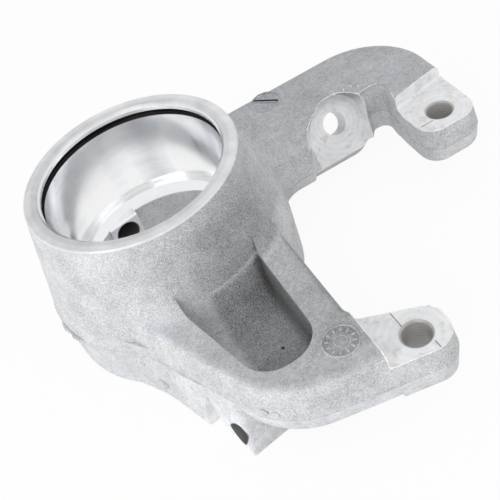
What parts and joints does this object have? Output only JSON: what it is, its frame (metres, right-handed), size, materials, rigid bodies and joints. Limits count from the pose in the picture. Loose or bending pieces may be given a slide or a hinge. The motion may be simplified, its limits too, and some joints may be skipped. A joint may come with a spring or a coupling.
{
  "type": "steering knuckle",
  "caption": "Cast aluminium steering knuckle: a flared bearing housing with two caliper ears on bent arms, a leaning tie rod pad and two cross-drilled joint lugs.",
  "frame": {"origin": "on the wheel bearing's axis, in the middle of the bearing seat", "axes": "+Z along the bearing axis pointing outboard, out of the seat's open mouth; +X towards the upper caliper ear's arm; +Y away from the lower caliper arm"},
  "size_m": [0.2165, 0.2394, 0.0791],
  "materials": {
    "casting": "matte sand-cast skin with bright machined faces"
  },
  "bodies": {
    "root": {"knuckle": "casting"}
  },
  "joints": []
}
